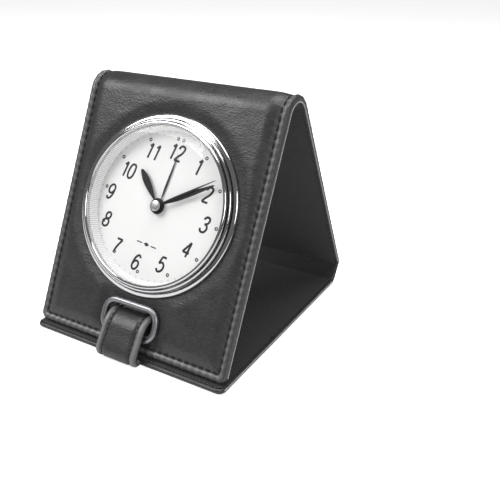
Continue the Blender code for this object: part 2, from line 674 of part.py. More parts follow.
panel("base", at["base"], BASE_WIDTH, BASE_LENGTH, BASE_THICKNESS, PANEL_CORNER, (0.0, CREASE_CUTBACK))
panel("spine", at["spine"], CASE_WIDTH, SPINE_LENGTH, SPINE_THICKNESS, CREASE_CORNER,
      (CREASE_CUTBACK, CREASE_CUTBACK))
panel("rear", at["rear"], CASE_WIDTH, REAR_LENGTH, REAR_THICKNESS, CREASE_CORNER, (CREASE_CUTBACK, 0.0))
front_panel(at["front"])
crease("lower_crease", corners["lower"], 0.0, SPINE_ANGLE, None)
crease("upper_crease", corners["upper"], SPINE_ANGLE, REAR_ANGLE, None)
top_fold(corners)
keeper(at["rear"])
slot_metal(at["front"])
strap(corners)

clock = at["clock"]
bezel(clock)
lens(clock)
dial(clock)
housing(clock)
case_screws(clock)
movement_plate(clock)
hands(clock)
train(clock)
controls(clock)
electrics(clock)
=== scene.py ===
"""Travel alarm clock in a folding leather case, standing as a tent. Row frame, metres, +Z up.

The leather is one strip: base, spine, rear, top fold and front. A place on it is (x, s, out): x across,
s the length along its outer face from the base's front edge, out the height off that face.
"""

import math

import bmesh
import bpy
from mathutils import Matrix, Vector, noise


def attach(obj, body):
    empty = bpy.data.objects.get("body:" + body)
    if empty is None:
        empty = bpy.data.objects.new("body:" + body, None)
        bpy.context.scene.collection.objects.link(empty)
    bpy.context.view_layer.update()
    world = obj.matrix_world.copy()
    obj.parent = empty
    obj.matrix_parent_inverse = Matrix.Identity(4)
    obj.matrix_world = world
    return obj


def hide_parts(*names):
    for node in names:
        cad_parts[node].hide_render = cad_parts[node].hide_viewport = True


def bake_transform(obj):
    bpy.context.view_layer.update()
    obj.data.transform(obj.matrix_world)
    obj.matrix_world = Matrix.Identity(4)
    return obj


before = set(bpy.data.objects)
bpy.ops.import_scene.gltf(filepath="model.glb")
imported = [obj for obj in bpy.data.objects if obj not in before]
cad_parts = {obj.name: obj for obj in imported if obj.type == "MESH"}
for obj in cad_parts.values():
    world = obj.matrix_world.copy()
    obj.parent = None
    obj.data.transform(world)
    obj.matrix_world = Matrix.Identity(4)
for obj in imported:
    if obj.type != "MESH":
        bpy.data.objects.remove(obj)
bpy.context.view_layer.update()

MM = 0.001

# The strip
BASE_LENGTH = 93.2 * MM
SPINE_LENGTH = 9.76 * MM
REAR_LENGTH = 87.9 * MM
FRONT_LENGTH = 87.4 * MM
SPINE_ANGLE = math.radians(58.4)
REAR_ANGLE = math.radians(121.4)
FRONT_TILT = math.radians(24.7)
DOWN_ANGLE = math.radians(270) - FRONT_TILT
FOLD_RADIUS = 8 * MM
CREASE_REACH = 2 * MM
AT_LOWER = BASE_LENGTH
AT_UPPER = AT_LOWER + SPINE_LENGTH
AT_FOLD = AT_UPPER + REAR_LENGTH
AT_FRONT = AT_FOLD + FOLD_RADIUS * (DOWN_ANGLE - REAR_ANGLE)
AT_FOOT = AT_FRONT + FRONT_LENGTH
HALF_WIDTHS = ((0, 40.5 * MM), (AT_LOWER, 40 * MM), (AT_FOOT, 40 * MM))
THICKNESSES = ((0, 1.8 * MM), (AT_UPPER - CREASE_REACH, 1.8 * MM), (AT_UPPER + CREASE_REACH, 2.4 * MM),
               (AT_FOLD, 2.4 * MM), (AT_FRONT, 2.8 * MM), (AT_FOOT, 2.8 * MM))
CORNER_RADIUS = 2.6 * MM

# Its surface
SEAM_INSET = 2.8 * MM
SEAM_WIDTH = 0.45 * MM
SEAM_DEPTH = 0.42 * MM
SEAM_PULL_DEPTH = 0.15 * MM
PUCKER_DEPTH = 0.14 * MM
ROLL_HEIGHT = 0.45 * MM
ROLL_INSET = 1.35 * MM
BASE_SINK = 0.12 * MM
STITCH_PITCH = 2.8 * MM
STITCH_LENGTH = 2.0 * MM
STITCH_SINK = 0.2 * MM
BASE_STITCH_SINK = 0.32 * MM
THREAD = 0.27 * MM
PADDING = 1.2 * MM
RIM_STEPS = 6
TURN_IN = 3.5 * MM
FINE = 0.6 * MM
LINING_INSET = 1.3 * MM
LINING_DROP = 0.22 * MM
LINING_EDGE = 0.15 * MM
WELT_RADIUS = 0.22 * MM
WELT_INSET = 0.12 * MM
WELT_DEPTH = 0.72

# Clock insert and strap
CLOCK_RISE = 50.6 * MM
BEZEL_RADIUS = 31.5 * MM
PANEL_HOLE = 29.9 * MM
DIAL_TOP = -1.2 * MM
DIAL_TURN = math.radians(-6.6)
NUMERAL_HEIGHT = 5.3 * MM
NUMERAL_STROKE = 0.8 * MM
MARKER_CIRCLE = 23.87 * MM
SLOT_RISE = 10.4 * MM
SLOT_SIZE = (19.6 * MM, 8.9 * MM)
SLOT_CORNER = 3.2 * MM
SLOT_OVERLAP = 0.2 * MM
RING_WIRE = 1.0 * MM
RING_LIFT = 1.15 * MM
STRAP_WIDTH = 17.2 * MM
STRAP_THICKNESS = 2.0 * MM
STRAP_GROOVE = 0.5 * MM
KEEPER_HALF = 10.25 * MM
KEEPER_DROP = 12 * MM
KEEPER_WIDTH = 8 * MM
KEEPER_THICKNESS = 0.9 * MM
KEEPER_GROOVE = 0.1 * MM

# The dial's print, the studio and the camera fitted to the photograph
MARKER_RADIUS = 0.45 * MM
MARKER_WIRE = 0.2 * MM
MARKER_SPREAD = 1.15 * MM
TICK_CIRCLE = 25.4 * MM
TICK_LENGTH = 0.9 * MM
TICK_WIDTH = 0.16 * MM
ORNAMENT_DROP = 13.9 * MM
RIB_COUNT = 240
FLOOR_DROP = 0.2 * MM
FLOOR_GLOW = 0.7
WORLD_LIGHT = 0.2
CAMERA_PLACE = (0.12811, -0.19703, 0.13239)
CAMERA_TURNS = (31.887, 25.40, 0.442)
CAMERA_LENS = 48.44
CAMERA_SHIFT = (0.0861, 0.0121)


# Places on the strip

def stretch(start, angle, length, out):
    """The (y, z) at a length from start and a height out of the outer face."""
    return (start[0] + length * math.cos(angle) + out * math.sin(angle),
            start[1] + length * math.sin(angle) - out * math.cos(angle))


BASE_EDGE = (-BASE_LENGTH / 2, 0.0)
LOWER = stretch(BASE_EDGE, 0.0, BASE_LENGTH, 0)
UPPER = stretch(LOWER, SPINE_ANGLE, SPINE_LENGTH, 0)
REAR_TOP = stretch(UPPER, REAR_ANGLE, REAR_LENGTH, 0)
FOLD_MIDDLE = stretch(REAR_TOP, REAR_ANGLE, 0, -FOLD_RADIUS)
FRONT_TOP = stretch(FOLD_MIDDLE, DOWN_ANGLE, 0, FOLD_RADIUS)
FOOT = stretch(FRONT_TOP, DOWN_ANGLE, FRONT_LENGTH, 0)
FRONT = Matrix.Translation((0, *FOOT)) @ Matrix.Rotation(math.pi / 2 - FRONT_TILT, 4, "X")
CLOCK = FRONT @ Matrix.Translation((0, CLOCK_RISE, 0))


def between(table, s):
    """The value at s from a table of (s, value)."""
    for (low, first), (high, second) in zip(table, table[1:]):
        if s <= high:
            share = max(0.0, (s - low) / (high - low))
            return first + (second - first) * share
    return table[-1][1]


def crease_point(corner, before, after, share, out):
    """A rounded corner between two straight stretches, share from 0 to 1."""
    first = stretch(corner, before, -CREASE_REACH, out)
    last = stretch(corner, after, CREASE_REACH, out)
    middle = stretch(corner, (before + after) / 2, 0, out / math.cos((after - before) / 2))
    return tuple((1 - share) ** 2 * a + 2 * share * (1 - share) * b + share ** 2 * c
                 for a, b, c in zip(first, middle, last))


def on_strip(x, s, out):
    """The row-frame point at (x, s, out) on the strip."""
    if abs(s - AT_LOWER) < CREASE_REACH:
        share = (s - AT_LOWER + CREASE_REACH) / (2 * CREASE_REACH)
        point = crease_point(LOWER, 0.0, SPINE_ANGLE, share, out)
    elif abs(s - AT_UPPER) < CREASE_REACH:
        share = (s - AT_UPPER + CREASE_REACH) / (2 * CREASE_REACH)
        point = crease_point(UPPER, SPINE_ANGLE, REAR_ANGLE, share, out)
    elif s < AT_LOWER:
        point = stretch(BASE_EDGE, 0.0, s, out)
    elif s < AT_UPPER:
        point = stretch(LOWER, SPINE_ANGLE, s - AT_LOWER, out)
    elif s < AT_FOLD:
        point = stretch(UPPER, REAR_ANGLE, s - AT_UPPER, out)
    elif s < AT_FRONT:
        angle = REAR_ANGLE + (s - AT_FOLD) / FOLD_RADIUS
        point = stretch(FOLD_MIDDLE, angle, 0, FOLD_RADIUS + out)
    else:
        point = stretch(FRONT_TOP, DOWN_ANGLE, s - AT_FRONT, out)
    return Vector((x, *point))


# The strip's pieces: name, from s, to s, the bodies it rides on
STRETCHES = (
    ("base", 0.0, AT_LOWER - CREASE_REACH, ("base",)),
    ("lower_crease", AT_LOWER - CREASE_REACH, AT_LOWER + CREASE_REACH, ("base", "spine")),
    ("spine", AT_LOWER + CREASE_REACH, AT_UPPER - CREASE_REACH, ("spine",)),
    ("upper_crease", AT_UPPER - CREASE_REACH, AT_UPPER + CREASE_REACH, ("spine", "rear")),
    ("rear", AT_UPPER + CREASE_REACH, AT_FOLD, ("rear",)),
    ("top_fold", AT_FOLD, AT_FRONT, ("rear", "front")),
    ("front", AT_FRONT, AT_FOOT, ("front",)),
)


def bump(distance, middle, width):
    """A smooth hill, 1 at its middle."""
    return math.exp(-((distance - middle) / width) ** 2)


def ease(value):
    """0 to 1 with a soft start and end."""
    value = min(1.0, max(0.0, value))
    return value * value * (3 - 2 * value)


def edge_distance(x, s):
    return min(between(HALF_WIDTHS, s) - abs(x), s, AT_FOOT - s)


def padding(x, s, edge):
    """How far the foam lifts the front panel's leather between the seam, the bezel and the ring."""
    if s < AT_FOLD:
        return 0.0
    up = AT_FOOT - s
    round_bezel = ease((math.hypot(x, up - CLOCK_RISE) - BEZEL_RADIUS + 1 * MM) / (6 * MM))
    aside = max(abs(x) - SLOT_SIZE[0] / 2, abs(up - SLOT_RISE) - SLOT_SIZE[1] / 2)
    round_ring = ease((aside - 1 * MM) / (5 * MM))
    begins = ease((s - AT_FOLD) / (FOLD_RADIUS * 2))
    return PADDING * begins * ease((edge - 1.5 * MM) / (6 * MM)) * (0.3 + 0.7 * round_bezel * round_ring)


def seam_pull(x, s, edge):
    """How hard the nearest seam pulls here, from 0 to 1 and back once in each stitch pitch."""
    run = s if between(HALF_WIDTHS, s) - abs(x) <= edge + 1e-9 else x
    return 0.5 + 0.5 * math.cos(math.tau * run / STITCH_PITCH)


def rubbing(x, s):
    """How much painted highlight goes into the leather's colour, from 0 to 1: most on the roll outside the
    seam, where the rolled edge catches the light.
    """
    edge = edge_distance(x, s)
    return bump(edge, SEAM_INSET - 1.0 * MM, 0.55 * MM) * (1 - 0.6 * seam_pull(x, s, edge))


def leather_height(x, s):
    """The leather's height off the strip's outer face: roll, seam, puckers, unevenness and padding.

    On the base and its crease it stays at or below that face, because the case stands on it.
    """
    edge = edge_distance(x, s)
    pull = seam_pull(x, s, edge)
    height = ROLL_HEIGHT * bump(edge, ROLL_INSET, 0.75 * MM) * (0.6 + 0.4 * (1 - pull))
    height -= (SEAM_DEPTH + SEAM_PULL_DEPTH * pull) * bump(edge, SEAM_INSET, SEAM_WIDTH)
    height -= PUCKER_DEPTH * pull * bump(edge, SEAM_INSET + 0.9 * MM, 0.8 * MM)
    at = Vector((x / (1.6 * MM), s / (0.9 * MM), 0))
    height += 0.02 * MM * noise.noise(at) + 0.045 * MM * noise.noise(at * 0.31)
    if s < AT_LOWER + CREASE_REACH:
        return min(0.0, height - BASE_SINK)
    return height + padding(x, s, edge)


def spaced(low, high, step):
    """Even values from low to high, about a step apart."""
    count = max(2, round((high - low) / step))
    return [low + (high - low) * i / count for i in range(count + 1)]


def round_corner(x, s, half, radius, ends):
    """Moves a place near a free corner so that the corner becomes round. It also gives its outward way."""
    for end, sign in ends:
        middle = (half - radius, end - sign * radius)
        across, along = abs(x) - middle[0], (s - middle[1]) * sign
        if across >= 0 and along >= 0:
            a = across * math.sqrt(1 - along ** 2 / (2 * radius ** 2))
            b = along * math.sqrt(1 - across ** 2 / (2 * radius ** 2))
            length = math.hypot(a, b) or 1.0
            side = math.copysign(1, x)
            return side * (middle[0] + a), middle[1] + sign * b, (side * a / length, sign * b / length)
    if half - abs(x) < 1e-7:
        return x, s, (math.copysign(1, x), 0.0)
    return x, s, (0.0, math.copysign(1, s - AT_FOLD))


def under_metal(face):
    """True inside the clock's hole and the strap's slot, where the bezel and the ring cover the edge."""
    local = FRONT.inverted() @ face.calc_center_median()
    in_hole = math.hypot(local.x, local.y - CLOCK_RISE) < PANEL_HOLE
    half = [size / 2 - SLOT_OVERLAP for size in SLOT_SIZE]
    return in_hole or (abs(local.x) < half[0] and abs(local.y - SLOT_RISE) < half[1])


def open_front(bm):
    """Takes out the front's faces under the metal."""
    inside = [face for face in bm.faces if under_metal(face)]
    bmesh.ops.delete(bm, geom=inside, context="FACES")


def strip_mesh(start, stop, height, inset, depth, rim, turn_in):
    """A stretch of a sheet on the strip, its free edges rounded over the rim radius and turned in.

    inset and depth move the sheet in from the strip's edges and down from its outer face.
    """
    bm = bmesh.new()
    # The painted highlight: a per-vertex share of lighter colour that stands in for light on the rolled
    # edges
    painted_highlight = bm.verts.layers.float.new("painted_highlight")
    uv_of = {}
    free = []
    if start == 0:
        free.append((inset + rim, -1))
    if stop == AT_FOOT:
        free.append((AT_FOOT - inset - rim, 1))
    low = start + (inset + rim if start == 0 else 0)
    high = stop - (inset + rim if stop == AT_FOOT else 0)
    rows = []
    for s in spaced(low, high, FINE):
        half = between(HALF_WIDTHS, s) - inset - rim
        row = []
        for x in spaced(-half, half, FINE):
            cx, cs, way = round_corner(x, s, half, max(CORNER_RADIUS - inset - rim, 0.6 * MM), free)
            out = height(cx, cs) - depth(cs)
            vert = bm.verts.new(on_strip(cx, cs, out))
            vert[painted_highlight] = rubbing(cx, cs)
            uv_of[vert] = (cx / MM, cs / MM)
            row.append((vert, cx, cs, way, out))
        rows.append(row)
    for near, far in zip(rows, rows[1:]):
        for a, b, c, d in zip(near, near[1:], far[1:], far):
            bm.faces.new((a[0], d[0], c[0], b[0]))
    left = [row[0] for row in rows]
    right = [row[-1] for row in rows]
    if start == 0:
        chains = [list(reversed(left))[:-1] + rows[0] + right[1:]]
    elif stop == AT_FOOT:
        chains = [left[:-1] + rows[-1] + list(reversed(right))[1:]]
    else:
        chains = [left, right]
    for chain in chains:
        add_rim(bm, painted_highlight, uv_of, chain, rim, turn_in)
    lay_uv(bm, uv_of)
    return bm


def lay_uv(bm, uv_of):
    layer = bm.loops.layers.uv.new("strip")
    for face in bm.faces:
        for loop in face.loops:
            loop[layer].uv = uv_of[loop.vert]


def add_rim(bm, painted_highlight, uv_of, chain, rim, turn_in):
    """Rolls the edge over and under from the chain's vertices."""
    steps = [(rim * math.sin(angle), rim * math.cos(angle) - rim)
             for angle in (math.pi * i / RIM_STEPS for i in range(1, RIM_STEPS + 1))]
    steps.append((-turn_in, -2 * rim))
    before = [place[0] for place in chain]
    for index, (away, drop) in enumerate(steps):
        ring = []
        for _, x, s, way, out in chain:
            made = bm.verts.new(on_strip(x + way[0] * away, s + way[1] * away, out + drop))
            # The roll's first step takes a little of the painted highlight
            made[painted_highlight] = 0.25 if index == 1 else 0.0
            reach = (index + 1) * rim / 2 / MM
            uv_of[made] = (x / MM + way[0] * reach, s / MM + way[1] * reach)
            ring.append(made)
        for a, b, c, d in zip(before, before[1:], ring[1:], ring):
            bm.faces.new((a, b, c, d))
        before = ring


def add_object(name, data):
    obj = bpy.data.objects.new(name, data)
    bpy.context.scene.collection.objects.link(obj)
    return obj


def finish_mesh(name, bm, angle=40):
    """The object of a mesh, smooth but for edges sharper than the angle in degrees."""
    bmesh.ops.recalc_face_normals(bm, faces=bm.faces)
    mesh = bpy.data.meshes.new(name)
    bm.to_mesh(mesh)
    bm.free()
    mesh.shade_smooth()
    mesh.set_sharp_from_angle(angle=math.radians(angle))
    return add_object(name, mesh)


def follow(obj, bodies, start, stop):
    """A piece of the strip rides on its body; a piece between two bodies is baked in place and rides on
    neither.
    """
    if len(bodies) == 1:
        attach(obj, bodies[0])
    else:
        on_strip(0, start, 0)
        on_strip(0, stop, 0)
        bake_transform(obj)


def dress(obj, material, *nodes):
    obj.data.materials.append(material)
    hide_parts(*nodes)
    return obj


def leather_strip():
    """The outer leather, piece by piece."""
    covers = {"base": ("base_cover",), "spine": ("spine_cover",), "rear": ("rear_cover",),
              "front": ("front_cover",), "lower_crease": ("lower_crease",),
              "upper_crease": ("upper_crease",), "top_fold": ("top_fold",)}
    for name, start, stop, bodies in STRETCHES:
        rim = between(THICKNESSES, (start + stop) / 2) / 2
        bm = strip_mesh(start, stop, leather_height, 0.0, lambda s: 0.0, rim, TURN_IN)
        if name == "front":
            open_front(bm)
        obj = dress(finish_mesh(name + "_leather", bm), MATERIALS["leather"], *covers[name])
        follow(obj, bodies, start, stop)


def inner_lining():
    """The woven lining on the inner faces."""
    linings = {"base": ("base_lining",), "spine": ("spine_lining",), "rear": ("rear_lining",),
               "front": ("front_lining",)}
    for name, start, stop, bodies in STRETCHES:
        bm = strip_mesh(start, stop, lambda x, s: 0.0, LINING_INSET,
                        lambda s: between(THICKNESSES, s) + LINING_DROP, -LINING_EDGE, 0.0)
        if name == "front":
            open_front(bm)
        obj = dress(finish_mesh(name + "_twill", bm), MATERIALS["twill"], *linings.get(name, ()))
        follow(obj, bodies, start, stop)


# Stitches and cords

# The pieces with stitches and welts along their sides
SEWN = [piece for piece in STRETCHES if piece[0] in ("base", "rear", "top_fold", "front")]


def join_rings(bm, rings):
    """A closed tube over the rings, with both ends filled."""
    for near, far in zip(rings, rings[1:]):
        for i in range(len(near)):
            j = (i + 1) % len(near)
            bm.faces.new((near[i], near[j], far[j], far[i]))
    bm.faces.new(list(reversed(rings[0])))
    bm.faces.new(rings[-1])


def capsule(bm, start, end, radius, sides=6):
    """A stitch: a thread from start to end with tapered ends."""
    along = end - start
    length = along.length
    turn = along.to_track_quat("Z", "Y").to_matrix().to_4x4()
    rings = []
    for share, size in ((0.0, 0.35), (0.15, 0.9), (0.5, 1.0), (0.85, 0.9), (1.0, 0.35)):
        ring = []
        for i in range(sides):
            angle = math.tau * i / sides
            reach = radius * size
            local = Vector((reach * math.cos(angle), reach * math.sin(angle), length * share))
            ring.append(bm.verts.new(start + turn @ local))
        rings.append(ring)
    join_rings(bm, rings)


def stitch_line(bm, place, low, high):
    """Stitches from low to high along place(t), a row-frame point."""
    count = round((high - low) / STITCH_PITCH)
    for i in range(count):
        middle = low + (high - low) * (i + 0.5) / count
        capsule(bm, place(middle - STITCH_LENGTH / 2), place(middle + STITCH_LENGTH / 2), THREAD)


def strip_stitches():
    for name, start, stop, bodies in SEWN:
        sink = -BASE_STITCH_SINK if name == "base" else -STITCH_SINK
        bm = bmesh.new()
        low = start + (SEAM_INSET if start == 0 else 0)
        high = stop - (SEAM_INSET if stop == AT_FOOT else 0)
        for side in (-1, 1):
            def place(s):
                x = side * (between(HALF_WIDTHS, s) - SEAM_INSET)
                return on_strip(x, s, sink + (padding(x, s, SEAM_INSET) if s > AT_LOWER else 0.0))
            stitch_line(bm, place, low, high)
        end = low if start == 0 else high
        if start == 0 or stop == AT_FOOT:
            half = between(HALF_WIDTHS, end) - SEAM_INSET
            stitch_line(bm, lambda x: on_strip(x, end, sink + padding(x, end, SEAM_INSET)), -half, half)
        obj = dress(finish_mesh(name + "_stitches", bm), MATERIALS["thread"])
        follow(obj, bodies, start, stop)


def edge_welts():
    """The turned edge of the inner leather along the sides, a thin cord of short links, coloured light grey
    as a painted highlight on the black edge.
    """
    for name, start, stop, bodies in SEWN:
        bm = bmesh.new()
        deep = between(THICKNESSES, (start + stop) / 2)
        for side in (-1, 1):
            places = spaced(start + 2 * MM * (start == 0), stop - 2 * MM * (stop == AT_FOOT), 1 * MM)
            for near, far in zip(places, places[1:]):
                ends = [on_strip(side * (between(HALF_WIDTHS, s) - WELT_INSET), s, -WELT_DEPTH * deep)
                        for s in (near, far)]
                capsule(bm, ends[0], ends[1] + (ends[1] - ends[0]) * 0.06, WELT_RADIUS)
        obj = dress(finish_mesh(name + "_welts", bm), MATERIALS["edge"])
        follow(obj, bodies, start, stop)


# Bands: the strap and the keeper

def band(name, path, across, width, thickness, groove=0.0):
    """A padded band along the path, its width along across. groove is how deep its two seams are."""
    bm = bmesh.new()
    painted_highlight = bm.verts.layers.float.new("painted_highlight")
    uv_of = {}
    places = spaced(-1.0, 1.0, 0.06)
    rings = []
    run = 0.0
    for index, point in enumerate(path):
        tangent = (path[min(index + 1, len(path) - 1)] - path[max(index - 1, 0)]).normalized()
        normal = tangent.cross(across)
        run += (point - path[max(index - 1, 0)]).length
        ring = []
        for side in (1, -1):
            for place in (places if side == 1 else reversed(places)):
                away = abs(place) * width / 2
                edge = width / 2 - away
                half = thickness / 2 * math.sqrt(max(0.0, 1 - (max(0.0, 1 - edge / (1.1 * MM))) ** 2))
                dip = groove * bump(edge, SEAM_INSET, SEAM_WIDTH)
                vert = bm.verts.new(point + across * place * width / 2 + normal * side * (half - dip))
                # Seamed bands take a painted highlight along their rounded edges
                vert[painted_highlight] = bump(edge, 1.1 * MM, 0.9 * MM) if groove else 0.0
                uv_of[vert] = ((place * width / 2) / MM, run / MM + 40 * side)
                ring.append(vert)
        rings.append(ring)
    join_rings(bm, rings)
    lay_uv(bm, uv_of)
    bmesh.ops.remove_doubles(bm, verts=bm.verts, dist=0.01 * MM)
    return finish_mesh(name, bm, 50)


def smooth_path(points, steps):
    """A Catmull-Rom curve through the points."""
    padded_points = [points[0]] + list(points) + [points[-1]]
    path = []
    for a, b, c, d in zip(padded_points, padded_points[1:], padded_points[2:], padded_points[3:]):
        for i in range(steps):
            u = i / steps
            path.append(0.5 * (2 * b + (c - a) * u + (2 * a - 5 * b + 4 * c - d) * u * u
                               + (3 * b - a - 3 * c + d) * u ** 3))
    return path + [points[-1]]


def strap():
    """The closing strap: from the base's front edge, over the foot and down through the slot."""
    root = [Vector((0, BASE_EDGE[0] + y * MM, z * MM)) for y, z in ((-0.4, 1.3), (-2.4, 1.75), (-2.9, 3.6))]
    # (up the front panel, out of its face)
    rises = ((0.9, 4.6), (4.8, 4.0), (8.4, 3.4), (11.3, 1.7), (12.7, -1.2), (12.8, -4.8), (12.6, -9.0),
             (12.2, -14.0), (12.0, -20.0))
    path = smooth_path(root + [FRONT @ Vector((0, up * MM, out * MM)) for up, out in rises], 8)
    across = Vector((1, 0, 0))
    obj = dress(band("strap_leather", path, across, STRAP_WIDTH, STRAP_THICKNESS, STRAP_GROOVE),
                MATERIALS["leather"], "strap")
    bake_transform(obj)
    bm = bmesh.new()
    for side in (-1, 1):
        for first in range(4, len(path) - 12, 4):
            lifted = []
            for index in (first, first + 3):
                tangent = (path[index + 1] - path[index - 1]).normalized()
                out = tangent.cross(across) * (STRAP_THICKNESS / 2 - 0.35 * MM)
                lifted.append(path[index] - out + across * side * (STRAP_WIDTH / 2 - SEAM_INSET))
            capsule(bm, *lifted, THREAD)
    seams = dress(finish_mesh("strap_stitches", bm), MATERIALS["thread"])
    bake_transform(seams)


def keeper():
    """The leather loop on the rear panel's outer face."""
    half = KEEPER_HALF
    low, high = 0.6 * MM, 3.2 * MM
    at = AT_FOLD - KEEPER_DROP
    side = [(half - 1 * MM, high), (half, high - 0.6 * MM), (half + 0.3 * MM, low + 0.6 * MM),
            (half + 0.9 * MM, low), (half + 2.6 * MM, low)]
    shape = [(-x, out) for x, out in reversed(side)] + side
    path = smooth_path([on_strip(x, at, out) for x, out in shape], 5)
    along = (on_strip(0, at, 0) - on_strip(0, at - 1 * MM, 0)).normalized()
    obj = band("keeper_leather", path, along, KEEPER_WIDTH, KEEPER_THICKNESS, KEEPER_GROOVE)
    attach(dress(obj, MATERIALS["leather"], "keeper_loop"), "rear")


# Metal and the clock

def turned(name, profile, steps=180):
    """A turned piece from (radius, height) points in millimetres."""
    bm = bmesh.new()
    verts = [bm.verts.new((radius * MM, 0, height * MM)) for radius, height in profile]
    edges = [bm.edges.new(pair) for pair in zip(verts, verts[1:] + verts[:1])]
    bmesh.ops.spin(bm, geom=verts + edges, cent=(0, 0, 0), axis=(0, 0, 1), angle=math.tau, steps=steps,
                   use_merge=True, use_duplicate=False)
    bmesh.ops.remove_doubles(bm, verts=bm.verts, dist=0.001 * MM)
    return finish_mesh(name, bm, 32)


def rounded_outline(width, height, corner, steps=10):
    points = []
    for turn, (sx, sy) in enumerate(((1, 1), (-1, 1), (-1, -1), (1, -1))):
        for i in range(steps + 1):
            angle = math.pi / 2 * (turn + i / steps)
            points.append((sx * (width / 2 - corner) + corner * math.cos(angle),
                           sy * (height / 2 - corner) + corner * math.sin(angle)))
    return points


def curve_object(name, lines, radius, cyclic=False, flat=1.0):
    """Round wire along each line of (x, y) points, flattened by a factor."""
    curve = bpy.data.curves.new(name, "CURVE")
    curve.dimensions = "3D"
    curve.bevel_depth = radius
    curve.bevel_resolution = 3
    curve.use_fill_caps = True
    for line in lines:
        spline = curve.splines.new("POLY")
        spline.points.add(len(line) - 1)
        for point, (across, up) in zip(spline.points, line):
            point.co = (across, up, 0, 1)
        spline.use_cyclic_u = cyclic
    obj = add_object(name, curve)
    obj.scale = (1, 1, flat)
    return obj


def fit(obj, matrix, body, material, *nodes):
    obj.matrix_world = matrix @ obj.matrix_basis
    dress(obj, material, *nodes)
    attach(obj, body)
    return obj


def slot_ring():
    wide, tall = (size + 2 * RING_WIRE for size in SLOT_SIZE)
    outline = rounded_outline(wide, tall, SLOT_CORNER + RING_WIRE)
    ring = curve_object("ring_wire", [outline], 1.15 * RING_WIRE, cyclic=True)
    ring.data.bevel_resolution = 6
    at = FRONT @ Matrix.Translation((0, SLOT_RISE, RING_LIFT))
    fit(ring, at, "front", MATERIALS["gunmetal"], "slot_ring")


def bezel():
    profile = [(31.5, 0.3), (31.5, 1.15), (31.35, 1.45), (31.1, 1.62), (30.6, 1.78), (30.2, 1.84),
               (30.1, 1.2), (29.85, 1.2), (29.8, 2.1), (29.72, 2.55), (29.55, 2.85), (29.35, 3.0),
               (29.05, 3.05), (28.95, 2.5), (28.75, 2.5), (28.7, 3.3), (28.62, 3.7), (28.45, 4.02),
               (28.2, 4.22), (27.9, 4.3), (27.6, 4.24), (27.4, 4.05), (27.3, 3.8), (27.25, 3.35),
               (28.3, 3.35), (28.3, -4.6), (29.2, -4.6), (29.2, 0.3)]
    fit(turned("bezel_ring", profile), CLOCK, "front", MATERIALS["chrome"], "bezel")


def lens():
    profile = [(0, 3.72), (6, 3.70), (12, 3.62), (18, 3.5), (23, 3.36), (26.4, 3.22), (27.0, 3.1),
               (27.2, 2.9), (27.2, 2.4), (0, 2.4)]
    fit(turned("lens_glass", profile, 120), CLOCK, "front", MATERIALS["lens"], "lens")


def flat_mesh(name, outlines, height, thickness=0.0):
    """Flat filled shapes, each one outline, at a height, with a thickness downwards."""
    bm = bmesh.new()
    for outline in outlines:
        face = bm.faces.new([bm.verts.new((x, y, height)) for x, y in outline])
        if thickness:
            made = bmesh.ops.extrude_face_region(bm, geom=[face])
            lowered = [item for item in made["geom"] if isinstance(item, bmesh.types.BMVert)]
            bmesh.ops.translate(bm, verts=lowered, vec=(0, 0, -thickness))
    return finish_mesh(name, bm, 30)


def circle(radius, count=96, middle=(0, 0)):
    return [(middle[0] + radius * math.cos(math.tau * i / count),
             middle[1] + radius * math.sin(math.tau * i / count)) for i in range(count)]


# Numeral strokes in a box 0.5 wide and 1 high: (is it curved, points)
DIGITS = {
    "0": ((True, ((0.25, 1), (0.08, 0.88), (0.02, 0.5), (0.08, 0.12), (0.25, 0), (0.42, 0.12), (0.48, 0.5),
                  (0.42, 0.88), (0.25, 1))),),
    "1": ((False, ((0.12, 0.8), (0.3, 1), (0.3, 0))),),
    "2": ((True, ((0.04, 0.76), (0.12, 0.95), (0.27, 1), (0.43, 0.92), (0.46, 0.74), (0.37, 0.5),
                  (0.17, 0.25), (0.03, 0.0))), (False, ((0.03, 0), (0.48, 0)))),
    "3": ((True, ((0.04, 0.8), (0.13, 0.96), (0.27, 1), (0.42, 0.92), (0.44, 0.74), (0.36, 0.58),
                  (0.2, 0.54))),
          (True, ((0.2, 0.54), (0.38, 0.48), (0.48, 0.28), (0.41, 0.07), (0.25, 0), (0.1, 0.05),
                  (0.02, 0.22)))),
    "4": ((False, ((0.38, 0), (0.38, 1), (0.02, 0.3), (0.52, 0.3))),),
    "5": ((False, ((0.44, 1), (0.13, 1), (0.07, 0.52))),
          (True, ((0.07, 0.52), (0.2, 0.62), (0.36, 0.6), (0.48, 0.42), (0.47, 0.18), (0.34, 0.02),
                  (0.17, 0.0), (0.03, 0.16)))),
    "6": ((True, ((0.45, 0.84), (0.36, 0.97), (0.23, 0.99), (0.09, 0.82), (0.03, 0.5), (0.06, 0.15),
                  (0.22, 0.0), (0.4, 0.07), (0.48, 0.3), (0.42, 0.52), (0.27, 0.6), (0.11, 0.52),
                  (0.04, 0.34))),),
    "7": ((False, ((0.03, 1), (0.48, 1))), (True, ((0.48, 1), (0.32, 0.66), (0.22, 0.34), (0.18, 0)))),
    "8": ((True, ((0.25, 0.54), (0.09, 0.64), (0.08, 0.88), (0.25, 1), (0.42, 0.88), (0.41, 0.64),
                  (0.25, 0.54))),
          (True, ((0.25, 0.54), (0.04, 0.4), (0.04, 0.12), (0.25, 0), (0.46, 0.12), (0.46, 0.4),
                  (0.25, 0.54)))),
    "9": ((True, ((0.05, 0.16), (0.14, 0.03), (0.27, 0.01), (0.41, 0.18), (0.47, 0.5), (0.44, 0.85),
                  (0.28, 1.0), (0.1, 0.93), (0.02, 0.7), (0.08, 0.48), (0.23, 0.4), (0.39, 0.48),
                  (0.46, 0.66))),),
}
